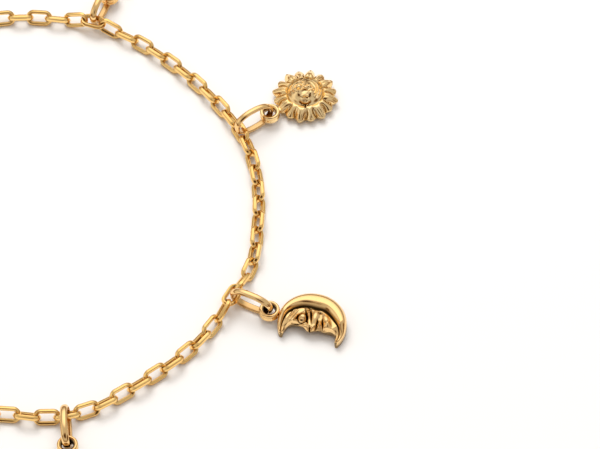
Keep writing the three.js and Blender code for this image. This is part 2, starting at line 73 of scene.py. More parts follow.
def frame_matrix(along: np.ndarray, outward: np.ndarray, up: np.ndarray, place: np.ndarray) -> np.ndarray:
    """Returns the 4 by 4 matrix that puts local X, Y and Z along three directions at a place."""
    return np.vstack([np.column_stack([along, outward, up, place]), [0, 0, 0, 1]])


def turn_matrix(angle: float, axis: str, place: np.ndarray | None = None) -> np.ndarray:
    """Makes a turn about one axis.

    Args:
        angle: the turn in radians.
        axis: X, Y or Z.
        place: where the turned piece goes, in millimetres.

    Returns:
        The 4 by 4 matrix.
    """
    matrix = np.array(Matrix.Rotation(angle, 4, axis))
    if place is not None:
        matrix[:3, 3] = place
    return matrix


@dataclass
class Surface:
    """Corners in millimetres, faces, and the painted shade of each corner, from 0 to 1: shade painted into hollows and
    where parts meet.
    """

    points: np.ndarray
    faces: np.ndarray
    painted_shade: np.ndarray

    @classmethod
    def loft(cls, rows: np.ndarray, ring: bool, painted_shade: np.ndarray | None = None) -> "Surface":
        """Joins rows of corners, each a closed loop, into one closed surface.

        Args:
            rows: the corners, rows by columns by 3.
            ring: True where the last row joins the first, False where each end closes on its middle.
            painted_shade: the painted shade of each corner, from 0 to 1, rows by columns.

        Returns:
            The surface, with its faces turned out.
        """
        count, width = rows.shape[:2]
        # depth holds the painted shade of each corner
        depth = np.zeros((count, width)) if painted_shade is None else painted_shade
        row, column = np.meshgrid(np.arange(count if ring else count - 1), np.arange(width), indexing="ij")
        after, beside = (row + 1) % count, (column + 1) % width
        corners = [row * width + column, after * width + column, after * width + beside, row * width + beside]
        faces = np.stack(corners, axis=-1).reshape(-1, 4)
        points = rows.reshape(-1, 3)
        depth = depth.ravel()
        if not ring:
            points = np.vstack([points, rows[0].mean(0), rows[-1].mean(0)])
            depth = np.append(depth, [depth[:width].mean(), depth[-width:].mean()])
            side = np.arange(width)
            beside = (side + 1) % width
            last = (count - 1) * width
            first_cap = np.stack([side, beside, np.full(width, len(points) - 2)], axis=-1)
            last_cap = np.stack([last + beside, last + side, np.full(width, len(points) - 1)], axis=-1)
            caps = np.vstack([first_cap, last_cap])
            faces = np.vstack([faces, np.hstack([caps, caps[:, 2:]])])
        surface = cls(points, faces, depth)
        return surface if surface.volume() > 0 else replace(surface, faces=faces[:, ::-1])

    def volume(self) -> float:
        """Returns the signed volume, which is positive where the faces are turned out."""
        a, b, c, d = (self.points[self.faces[:, i]] for i in range(4))
        return float((np.cross(b - a, c - a) * a).sum() + (np.cross(c - a, d - a) * a).sum())

    def moved(self, matrix: np.ndarray) -> "Surface":
        """Returns a copy moved by a 4 by 4 matrix."""
        return replace(self, points=self.points @ matrix[:3, :3].T + matrix[:3, 3])

    def shifted(self, x: float = 0.0, y: float = 0.0, z: float = 0.0) -> "Surface":
        """Returns a copy moved along the axes."""
        return replace(self, points=self.points + np.array([x, y, z]))

    def made(self, name: str, sharp: float = 50.0) -> bpy.types.Object:
        """Makes the object in metres, smooth but for edges sharper than an angle.

        Args:
            name: the piece's name.
            sharp: the angle between faces, in degrees, from which an edge stays sharp.

        Returns:
            The object, linked to the scene.
        """
        mesh = bpy.data.meshes.new(name)
        faces = [tuple(dict.fromkeys(face)) for face in self.faces.tolist()]
        mesh.from_pydata((self.points * MM).tolist(), [], faces)
        mesh.polygons.foreach_set("use_smooth", np.ones(len(mesh.polygons), bool))
        mesh.set_sharp_from_angle(angle=math.radians(sharp))
        # Stores each corner's painted shade, which darkens the gold where shade falls.
        attribute = mesh.attributes.new("painted_shade", "FLOAT", "POINT")
        attribute.data.foreach_set("value", self.painted_shade.astype(np.float32))
        piece = bpy.data.objects.new(name, mesh)
        bpy.context.scene.collection.objects.link(piece)
        piece.modifiers.new("even_normals", "WEIGHTED_NORMAL").keep_sharp = True
        return piece


def joined(surfaces: list[Surface]) -> Surface:
    """Returns several surfaces as one."""
    starts = np.cumsum([0] + [len(surface.points) for surface in surfaces[:-1]])
    return Surface(
        np.vstack([surface.points for surface in surfaces]),
        np.vstack([surface.faces + start for surface, start in zip(surfaces, starts)]),
        np.concatenate([surface.painted_shade for surface in surfaces]),
    )


def softened(section: Section, cut: float, steps: int = 3) -> np.ndarray:
    """Rounds the corners of a section.

    Args:
        section: its corners, in shares of its two sizes.
        cut: how far the rounding reaches along each side, as a share of the side.
        steps: the points along each rounded corner, less one.

    Returns:
        The points of the rounded section.
    """
    corners = np.array(section, float)
    points = []
    for index, corner in enumerate(corners):
        before = mix(corner, corners[index - 1], cut)
        after = mix(corner, corners[(index + 1) % len(corners)], cut)
        for share in np.linspace(0, 1, steps + 1):
            points.append(mix(mix(before, corner, share), mix(corner, after, share), share))
    return np.array(points)


def superellipse(half_length: float, half_height: float, power: float, steps: int) -> tuple[np.ndarray, np.ndarray]:
    """Makes a squared oval.

    Args:
        half_length: half of its length.
        half_height: half of its height.
        power: 2 is an ellipse, more is squarer.
        steps: its number of points.

    Returns:
        The points and the directions outward.
    """
    angle = (np.arange(steps) + 0.5) / steps * 2 * math.pi
    wave = np.stack([np.cos(angle), np.sin(angle)], axis=-1)
    halves = np.array([half_length, half_height])
    points = halves * np.sign(wave) * np.abs(wave) ** (2 / power)
    outward = np.sign(wave) * np.abs(wave) ** (2 - 2 / power) / halves
    return points, outward / np.linalg.norm(outward, axis=1, keepdims=True)


def swept(path: np.ndarray, outward: np.ndarray, section: np.ndarray, sizes: tuple[float, float],
          inner: np.ndarray | float = 0.0) -> Surface:
    """Sweeps a section round a closed flat path.

    Args:
        path: the points of its middle line, in the plane of X and Y.
        outward: the direction outward at each point.
        section: outward and across, in shares of the sizes.
        sizes: the section's size outward and across.
        inner: the painted shade on the inner side, at each point of the path.

    Returns:
        The ring.
    """
    flat = path[:, None] + outward[:, None] * section[None, :, :1] * sizes[0]
    height = np.broadcast_to(section[None, :, 1:] * sizes[1], (len(path), len(section), 1))
    # Painted shade on the inner side of the section, fading out towards its middle.
    painted_shade = np.broadcast_to(inner, len(path))[:, None] * smooth(-section[None, :, 0], 0.0, 0.45)
    return Surface.loft(np.concatenate([flat, height], axis=-1), ring=True, painted_shade=painted_shade)


class Route:
    """A smooth centripetal curve through points, closed or open, as the CAD source has it."""

    def __init__(self, points: np.ndarray, closed: bool) -> None:
        """Keeps the points, and those beyond the ends that the curve's end spans need.

        Args:
            points: the points that it passes.
            closed: True where it comes back to the first.
        """
        self.spans = len(points) if closed else len(points) - 1
        before, after = points[-1], points[:2]
        if not closed:
            before, after = 2 * points[0] - points[1], 2 * points[-1] - points[-2]
        self.corners = np.vstack([before, points, after])

    def at(self, share: float) -> np.ndarray:
        """Finds a point of the curve.

        Args:
            share: the share of the route's spans.

        Returns:
            The point.
        """
        index = min(math.floor(share * self.spans), self.spans - 1)
        rest = share * self.spans - index
        before, start, end, after = self.corners[index:index + 4]
        steps = [np.linalg.norm(b - a) ** 0.5 for a, b in ((before, start), (start, end), (end, after))]
        leave = (start - before) / steps[0] - (end - before) / (steps[0] + steps[1]) + (end - start) / steps[1]
        arrive = (end - start) / steps[1] - (after - start) / (steps[1] + steps[2]) + (after - end) / steps[2]
        leave, arrive = leave * steps[1], arrive * steps[1]
        square = -3 * start + 3 * end - 2 * leave - arrive
        cube = 2 * start - 2 * end + leave + arrive
        return start + leave * rest + square * rest ** 2 + cube * rest ** 3

    def even(self, divisions: int) -> tuple[np.ndarray, np.ndarray]:
        """Measures the route.

        Args:
            divisions: the number of short straight steps that it is measured by.

        Returns:
            The shares of its spans and the length up to each of them.
        """
        shares = np.linspace(0, 1, divisions + 1)
        points = np.array([self.at(share) for share in shares])
        return shares, np.append(0, np.cumsum(np.linalg.norm(np.diff(points, axis=0), axis=1)))


class Charm(Enum):
    """The four charms that show, by where they hang."""

    TOP = "top"
    SUN = "sun"
    MOON = "moon"
    BOTTOM = "bottom"


@dataclass(frozen=True)
class Hang:
    """How a charm hangs: the share of the links, and the ring's turn, its lean and the charm's swing in degrees."""

    share: float
    turn: float
    lean: float
    swing: float


HANGS = {
    Charm.TOP: Hang(2 / 7, -4, 5, 4),
    Charm.SUN: Hang(3 / 7, 7.5, 7, 0),
    Charm.MOON: Hang(4 / 7, 2, -5, 7),
    Charm.BOTTOM: Hang(5 / 7, -8, -8, 0),
}

# The route of the chain as it lies, clockwise from the clasp, round the loop's own middle
ROUTE = (
    (-30.75, -0.45), (-28.5, 11.8), (-20.8, 22.8), (-11.0, 28.9), (-1.8, 30.85), (3.0, 30.8), (9.5, 29.6),
    (15.5, 26.5), (22.8, 20.0), (28.5, 12.0), (30.2, 6.7), (30.75, 1.95), (30.6, -2.9), (30.1, -7.8),
    (28.6, -11.4), (25.3, -17.3), (22.3, -21.1), (14.8, -27.0), (10.7, -29.4), (6.2, -30.4), (1.5, -29.95),
    (-8.0, -29.2), (-18.8, -24.3), (-27.0, -14.6),
)


@dataclass(frozen=True)
class ClaspSizes:
    """Sizes of the plain clasp."""

    length: float = 6.6
    width: float = 3.0
    eye_hole: float = 1.2
    eye_wall: float = 0.36
    eye_height: float = 0.4
    eye_overlap: float = 0.3

    @property
    def eye_radius(self) -> float:
        """Radius of an eye's middle line."""
        return (self.eye_hole + self.eye_wall) / 2

    @property
    def eye_offset(self) -> float:
        """Distance from the middle of the clasp to the middle of an eye."""
        return self.length / 2 + self.eye_radius + self.eye_wall / 2 - self.eye_overlap


@dataclass
class Chain:
    """The cable chain: links of a ridged wire, each rolled to the other side than the one before."""

    inner_length: float = 2.335
    outer_width: float = 2.08
    wire: float = 0.58
    depth: float = 0.7
    drawn_thinner: float = 0.02
    bite: float = 0.055
    roll: float = 45.0
    held_roll: float = 2.0
    beside_held_roll: float = 58.0
    held_lift: float = 0.7
    roundness: float = 2.0
    path_steps: int = 44
    route_divisions: int = 2000
    corner_cut: float = 0.2
    # The painted shade on the inner side of the bars; it grows to full at the crowns, where the links meet, over the
    # shares of each bend given next.
    bar_painted_shade: float = 0.2
    crown: tuple[float, float] = (0.3, 0.9)
    section: Section = ((-0.5, -0.32), (-0.5, 0.32), (0.12, 0.5), (0.5, 0), (0.12, -0.5))
    clasp: ClaspSizes = field(default_factory=ClaspSizes)

    def __post_init__(self) -> None:
        """Lays the joints between the links along the route."""
        self.pitch = self.inner_length + self.bite
        middle = (self.outer_width - self.wire) / 2
        roll = math.radians(self.roll)
        self.height = max(
            (middle + out * self.wire) * math.sin(roll) + side * self.depth * math.cos(roll)
            for out, side in self.section
        )
        half_opening = self.outer_width / 2 - self.wire
        span = 2 * (self.clasp.eye_offset + self.clasp.eye_radius - half_opening - self.bite / 2)
        route = Route(np.array(ROUTE), closed=True)
        shares, lengths = route.even(self.route_divisions)
        self.count = round((lengths[-1] - span) / self.pitch)
        wanted = self.count * self.pitch + span
        places = (span / 2 + np.arange(self.count + 1) * self.pitch) / wanted * lengths[-1]
        flat = np.array([route.at(share) for share in np.interp(places, lengths, shares)]) * wanted / lengths[-1]
        self.joints = np.column_stack([flat, np.full(self.count + 1, self.height)])
        self.held = {charm: math.floor(hang.share * self.count + 0.5) for charm, hang in HANGS.items()}
        for index in self.held.values():
            if self.lifted(index):
                self.joints[index:index + 2, 2] += self.held_lift

    def lifted(self, index: int) -> bool:
        """Returns True for a low link that a charm's ring lifts."""
        return index in self.held.values() and index % 2 == 0

    def roll_of(self, index: int) -> float:
        """Finds how far a link is rolled.

        Args:
            index: its number.

        Returns:
            Its roll about its length, in degrees.
        """
        if self.lifted(index):
            return self.held_roll
        if self.lifted(index - 1) or self.lifted(index + 1):
            return self.beside_held_roll
        return self.roll if index % 2 else -self.roll

    def axes(self, index: int) -> tuple[np.ndarray, np.ndarray, np.ndarray, np.ndarray]:
        """Finds how a link lies.

        Args:
            index: its number.

        Returns:
            Its directions along, outward and up, and its middle.
        """
        start, end = self.joints[index], self.joints[index + 1]
        along = (end - start) / np.linalg.norm(end - start)
        outward = np.cross([0, 0, 1], along)
        outward /= np.linalg.norm(outward)
        return along, outward, np.cross(along, outward), (start + end) / 2

    def link(self) -> Surface:
        """Builds one link along X: a ring pulled apart at its middle.

        Returns:
            The link, whose crowns lie deeper in a recess than its bars do.
        """
        bend = (self.outer_width - self.wire) / 2
        straight = (self.inner_length - (self.outer_width - 2 * self.wire)) / 2
        path, outward = superellipse(bend, bend, self.roundness, self.path_steps)
        path = path + np.sign(path) * np.array([straight, 0])
        low, high = (straight + bend * share for share in self.crown)
        # Painted shade on the inner side: light on the bars, full at the crowns.
        inner = mix(self.bar_painted_shade, 1.0, smooth(np.abs(path[:, 0]), low, high))
        sizes = (self.wire - self.drawn_thinner, self.depth - self.drawn_thinner)
        return swept(path, outward, softened(self.section, self.corner_cut), sizes, inner)

    def surface(self) -> Surface:
        """Builds the whole run of links as one surface, round the loop's own middle.

        Returns:
            The chain.
        """
        link = self.link()
        links = []
        for index in range(self.count):
            matrix = frame_matrix(*self.axes(index)) @ turn_matrix(math.radians(self.roll_of(index)), "X")
            links.append(link.moved(matrix))
        return joined(links)


@dataclass(frozen=True)
class Placed:
    """Where a charm's ring and eyelet stand, in millimetres and radians."""

    direction: float
    lean: float
    ring: np.ndarray
    eyelet: np.ndarray
    charm_direction: float


@dataclass
class CharmRing:
    """An oval ring of flat band, through a link and a charm's eyelet."""

    length: float = 5.62
    height: float = 3.5
    width: float = 0.9
    thickness: float = 0.42
    roundness: float = 2.3
    steps: int = 96
    eyelet_height: float = 1.2
    eyelet_slack: float = 0.1
    # The painted shade on the inner side of the band.
    corner_cut: float = 0.3
    painted_shade: float = 0.5
    section: Section = (
        (-0.5, -0.46), (-0.5, 0.46), (0.05, 0.5), (0.5, 0.22), (0.5, -0.22), (0.05, -0.5))

    @property
    def halves(self) -> tuple[float, float]:
        """Half the length and height of the ring's middle line."""
        return (self.length - self.thickness) / 2, (self.height - self.thickness) / 2

    def reach(self, height: float) -> float:
        """Returns half the length of the ring's middle line at a height from its middle."""
        half_length, half_height = self.halves
        return half_length * (1 - abs(height / half_height) ** self.roundness) ** (1 / self.roundness)

    def place(self, chain: Chain, charm: Charm) -> Placed:
        """Finds where the ring stands: it passes the middle of its link and of the eyelet's hole.

        Args:
            chain: the chain that it hangs on.
            charm: which charm it carries.

        Returns:
            The places, round the loop's own middle.
        """
        hang = HANGS[charm]
        _, outward, _, middle = chain.axes(chain.held[charm])
        direction = math.atan2(outward[1], outward[0]) + math.radians(hang.turn)
        lean = math.radians(hang.lean)
        centre = self.height / 2 * math.cos(lean) + self.width / 2 * math.sin(abs(lean))
        along = np.array([math.cos(direction), math.sin(direction), 0])
        sideways = np.array([-math.sin(direction), math.cos(direction), 0])

        def offset(height: float, slack: float) -> np.ndarray:
            """Returns the way from the ring's middle to its band at a height, level with the middle."""
            reach = self.reach((centre - height) / math.cos(lean)) - slack
            return along * reach - sideways * (centre - height) * math.tan(lean)

        link_offset = offset(middle[2], 0)
        ring = middle + along * (link_offset @ along) - sideways * (link_offset @ sideways)
        ring[2] = centre
        eyelet = ring + offset(self.eyelet_height, self.eyelet_slack)
        eyelet[2] = 0
        return Placed(direction, lean, ring, eyelet, direction + math.radians(hang.swing))

    def surface(self, placed: Placed) -> Surface:
        """Builds the ring at its place, round the loop's own middle.

        Args:
            placed: where it stands.

        Returns:
            The ring.
        """
        path, outward = superellipse(*self.halves, self.roundness, self.steps)
        band = swept(path, outward, softened(self.section, self.corner_cut), (self.thickness, self.width), self.painted_shade)
        stand = turn_matrix(placed.direction, "Z", placed.ring) @ turn_matrix(-placed.lean, "X")
        return band.moved(stand @ turn_matrix(math.pi / 2, "X"))


@dataclass
class Eyelet:
    """The eyelet of a charm: a short tube whose two rims bulge, and the neck that joins it to the charm."""

    hole: float = 1.34
    wall: float = 0.6
    height: float = 1.1
    middle: float = 1.2
    reach: float = 1.21
    neck_width: float = 0.95
    neck_height: float = 0.5
    neck_middle: float = 0.95
    neck_overlap: float = 0.35
    neck_roundness: float = 2.6
    neck_waist: float = 0.14
    neck_steps: int = 20
    neck_rows: int = 12
    steps: int = 56
    corner_cut: float = 0.3
    corner_steps: int = 2
    section: Section = (
        (-0.5, -0.2), (-0.5, 0.2), (-0.36, 0.38), (-0.05, 0.49), (0.2, 0.5), (0.42, 0.42), (0.5, 0.24), (0.24, 0.0),
        (0.5, -0.24), (0.42, -0.42), (0.2, -0.5), (-0.05, -0.49), (-0.36, -0.38))

    def surfaces(self, neck_reach: float) -> list[Surface]:
        """Builds the tube and its neck.

        Args:
            neck_reach: how far the neck reaches from the middle of the hole.

        Returns:
            The two surfaces, with the hole's middle over the origin.
        """
        radius = (self.hole + self.wall) / 2
        path, outward = superellipse(radius, radius, 2, self.steps)
        section = softened(self.section, self.corner_cut, self.corner_steps)
        # The inner side of the hole gets full painted shade.
        tube = swept(path, outward, section, (self.wall, self.height), 1.0)
        start = self.hole / 2 + self.wall - self.neck_overlap
        oval, _ = superellipse(self.neck_width / 2, self.neck_height / 2, self.neck_roundness, self.neck_steps)
        rows = []
        for share in np.linspace(0, 1, self.neck_rows):
            side = oval * (1 - self.neck_waist * math.sin(math.pi * share))
            rows.append(np.column_stack([np.full(len(oval), mix(start, neck_reach, share)), side]))
        neck = Surface.loft(np.array(rows), ring=False)
        return [tube.shifted(z=self.middle), neck.shifted(z=self.neck_middle)]


@dataclass(frozen=True)
class Form:
    """One soft raised or sunk form of a relief: its place, half sizes, turn in degrees and height."""

    across: float
    up: float
    wide: float
    tall: float
    high: float
    turn: float = 0.0
    crisp: float = 2.0

    def height(self, across: np.ndarray, up: np.ndarray) -> np.ndarray:
        """Returns the form's height at places."""
        place = (across - self.across + 1j * (up - self.up)) * np.exp(-1j * math.radians(self.turn))
        return self.high * np.exp(-np.hypot(place.real / self.wide, place.imag / self.tall) ** self.crisp)


@dataclass(frozen=True)
class Arc:
    """One raised or sunk line of a relief: its circle's middle and radius, its ends in degrees, width and height."""

    across: float
    up: float
    radius: float
    start: float
    end: float
    width: float
    high: float

    def height(self, across: np.ndarray, up: np.ndarray) -> np.ndarray:
        """Finds the line's height.

        Args:
            across: how far across the places lie.
            up: how far up they lie.

        Returns:
            The heights.
        """
        x, y = across - self.across, up - self.up
        middle, half = math.radians((self.start + self.end) / 2), math.radians((self.end - self.start) / 2)
        away = np.abs((np.arctan2(y, x) - middle + math.pi) % (2 * math.pi) - math.pi)
        beyond = np.maximum(away - half, 0) * self.radius
        ridge = ((np.hypot(x, y) - self.radius) ** 2 + beyond ** 2) / self.width ** 2
        return self.high * np.exp(-ridge)


Relief = tuple[Form | Arc, ...]


def relief(forms: Relief, across: np.ndarray, up: np.ndarray) -> np.ndarray:
    """Returns the summed height of a relief's forms at places."""
    return sum(form.height(across, up) for form in forms)


def recessed(heights: np.ndarray, scales: tuple[tuple[int, float], ...]) -> np.ndarray:
    """Finds how far each corner of a grid lies below its neighbourhood.

    Args:
        heights: rows by columns, where the columns close round.
        scales: each neighbourhood's half size in corners, and the depth below it that counts as 1.

    Returns:
        The depth of each corner, from 0 to 1, which sets the painted shade in the charms' hollows.
    """
    deepest = np.zeros_like(heights)
    rows, columns = heights.shape
    for reach, depth in scales:
        size = 2 * reach + 1
        padded = np.pad(np.pad(heights, ((reach, reach), (0, 0)), mode="edge"), ((0, 0), (reach, reach)), mode="wrap")
        total = sum(padded[row:row + rows, side:side + columns] for row in range(size) for side in range(size))
        deepest = np.maximum(deepest, (total / size ** 2 - heights) / depth)
    return np.minimum(deepest, 1)


@dataclass
class SunCharm:
    """A domed sun: a face on a raised disc, and sixteen leaf-shaped rays, large and small in turn."""

    tip: float = 4.2
    small_tip: float = 4.0
    valley: float = 3.5
    face: float = 2.16
    relief_height: float = 1.15
    face_edge_height: float = 1.72
    flank: float = 0.16
    flank_start: float = 0.8
    dome: float = 0.62
    groove_height: float = 1.42
    collar_height: float = 1.6
    ray_height: float = 1.63
    tip_height: float = 0.95
    tip_underside: float = 0.35
    underside_edge: float = 0.95
    back: Section = ((2.85, 0.06), (2.7, 0.0), (0.1, 0.0))
    valley_depth: float = 0.36
    vein_depth: float = 0.15
    small_vein: float = 0.5
    leaf_overlap: float = 0.18
    bluntness: float = 1.5
    small_bluntness: float = 1.8
    ray_pairs: int = 8
    steps_per_ray: int = 28
    face_up: float = 55.0
    chin: tuple[float, float] = (0.3, 0.9)  # how far down the collar begins and is full, as a cosine
    face_rows: int = 44
    ray_rows: int = 36
    groove_width: float = 0.08
    foot: tuple[float, float] = (0.04, 0.22)  # shares of a ray where it leaves the groove and is up
    valley_start: tuple[float, float] = (0.04, 0.22)  # shares where valleys begin, at the brow and the chin
    valley_full: tuple[float, float] = (0.4, 0.6)  # and where they are full
    puffs: tuple[float, float, float] = (-0.08, 0.18, 0.12)  # of every leaf, of large ones, and in a leaf's middle
    fall: float = 1.9
    vein_width: float = 0.17
    vein_end: float = 0.85
    soft_valley: float = 0.3
    relief_end: tuple[float, float] = (0.6, 0.3)
    edge_rows: Section = ((1.006, 0.14), (1.0, 0.28), (0.985, 0.4))  # shares of the edge's radius, and drops
    # How the painted shade in hollows is found, and the painted shade on the back and underside.
    hollows: tuple[tuple[int, float], ...] = ((2, 0.06), (4, 0.2))
    back_painted_shade: float = 0.6
    eyelet: Eyelet = field(default_factory=Eyelet)
    forms: Relief = (
        Form(-0.86, 0.4, 0.4, 0.36, 0.3, 0, 3.6), Arc(-0.86, 0.4, 0.8, 60, 320, 0.13, 0.18),
        Form(-0.84, -0.02, 0.18, 0.1, -0.2), Form(0.5, 0.42, 0.3, 0.24, 0.22, 0, 2.8),
        Arc(0.42, 0.3, 0.66, -60, 140, 0.1, 0.16), Form(0.03, 0.1, 0.26, 0.3, 0.3, 0, 2.6),
        Form(0.0, -0.2, 0.26, 0.08, -0.3, 0, 2.8), Form(-1.0, -0.62, 0.5, 0.38, 0.2),
        Form(0.74, -0.6, 0.46, 0.38, 0.24), Form(-0.02, -1.0, 0.34, 0.12, 0.18, 0, 2.6),
        Form(-0.04, -1.4, 0.34, 0.14, 0.18, 0, 2.6), Form(-0.05, -1.2, 0.34, 0.06, -0.18),
        Form(0.22, -1.2, 0.12, 0.1, -0.24), Arc(0.1, 0.05, 1.62, -40, 105, 0.15, 0.24),
        Arc(0.14, 0.1, 1.16, -35, 100, 0.11, 0.2), Arc(0.0, -0.95, 0.94, 228, 312, 0.07, -0.55),
        Form(0.03, -2.12, 0.07, 0.28, -0.45),
    )

    def leaf(self, angle: np.ndarray, share: float) -> tuple[np.ndarray, np.ndarray]:
        """Finds the leaf at each angle; the large leaves spread over the small ones between the face and the edge.

        Args:
            angle: the angles round the sun, from the line to the eyelet.
            share: the share of the way from the face to the edge.

        Returns:
            How far across its leaf each angle is, from 0 to 1, and 1 on large leaves.
        """
        from_large = np.abs((angle * self.ray_pairs / math.pi / 2 + 0.5) % 1 - 0.5) * 2
        border = 0.5 + self.leaf_overlap * math.sin(math.pi * share)
        large = from_large < border
        return np.where(large, from_large / border, (1 - from_large) / (1 - border)), large.astype(float)

    def edge(self, angle: np.ndarray) -> np.ndarray:
        """Finds the edge of the rays.

        Args:
            angle: the angles round the sun.

        Returns:
            The edge's radius at each angle.
        """
        across, large = self.leaf(angle, 1.0)
        bluntness = mix(self.small_bluntness, self.bluntness, large)
        return mix(mix(self.small_tip, self.tip, large), self.valley, across ** bluntness)

    def ray(self, angle: np.ndarray, share: float, down: np.ndarray, groove: np.ndarray) -> np.ndarray:
        """Finds the height of the rays, without the face's relief.

        Args:
            angle: the angles round the sun.
            share: the share of the way from the face to the edge.
            down: 1 at angles below the chin.
            groove: the height of the groove round the face.

        Returns:
            The height at each angle.
        """
        across, large = self.leaf(angle, share)
        start = smooth(share, mix(*self.valley_start, down), mix(*self.valley_full, down))
        every, more, middle = self.puffs
        puff = math.sin(math.pi * share) * (every + more * large + middle * (1 - across))
        crest = mix(self.ray_height, self.tip_height, share ** self.fall) + puff
        ends = start * smooth(share, 1.0, self.vein_end) * mix(self.small_vein, 1, large)
        vein = self.vein_depth * np.exp(-(across / self.vein_width) ** 1.5) * ends
        valley = self.valley_depth * mix(across ** 8, across ** 1.5, self.soft_valley) * start
        return mix(groove, crest, smooth(share, *self.foot)) - valley - vein

    def body(self) -> Surface:
        """Builds the cast body round its own middle, with the eyelet towards -X.

        Returns:
            The body.
        """
        steps = 2 * self.ray_pairs * self.steps_per_ray
        angle = (np.arange(steps) / steps * 2 - 1) * math.pi
        edge = self.edge(angle)
        from_up = angle - math.radians(self.face_up)
        down = smooth(-np.cos(from_up), *self.chin)
        groove = mix(self.groove_height, self.collar_height, down)
        rows = []

        def add(radius: np.ndarray | float, height: np.ndarray | float, carved: float = 0.0) -> None:
            """Adds a row of corners, with a share of the face's relief."""
            forms = relief(self.forms, -radius * np.sin(from_up), radius * np.cos(from_up)) if carved else 0
            rows.append(np.broadcast_arrays(radius, height + self.relief_height * carved * forms, angle)[:2])

        for share in np.append(np.linspace(0.02, 0.96, self.face_rows), [0.985, 1.0]):
            flank = self.flank * smooth(share, self.flank_start, 1.0)
            add(share * self.face, self.face_edge_height + self.dome * (1 - share ** 2) - flank, 1.0)
        add(self.face + self.groove_width, groove, 1.0)
        for share in np.linspace(0.12, 1, self.ray_rows):
            add(mix(self.face, edge, share), self.ray(angle, share, down, groove), smooth(share, *self.relief_end))
        front = len(rows)
        rim = rows[-1][1]
        for out, drop in self.edge_rows:
            add(edge * out, np.maximum(rim - drop, self.tip_underside))
        add(edge * self.underside_edge, self.tip_underside)
        for radius, height in self.back:
            add(radius, height)
        radii, heights = np.array(rows).transpose(1, 0, 2)
        # Painted shade: an even amount on the back and underside, and on the front more in each hollow.
        painted_shade = np.full(heights.shape, self.back_painted_shade)
        painted_shade[:front] = recessed(heights[:front], self.hollows)
        points = np.stack([radii * np.cos(angle), radii * np.sin(angle), heights], axis=-1)
        return Surface.loft(points, ring=False, painted_shade=painted_shade)

    def surface(self) -> Surface:
        """Builds the sun with its eyelet over the origin and its middle on +X.

        Returns:
            The sun.
        """
        middle = self.eyelet.reach + self.tip
        neck = middle - self.valley + self.eyelet.neck_overlap
        return joined([self.body().shifted(x=middle), *self.eyelet.surfaces(neck)])


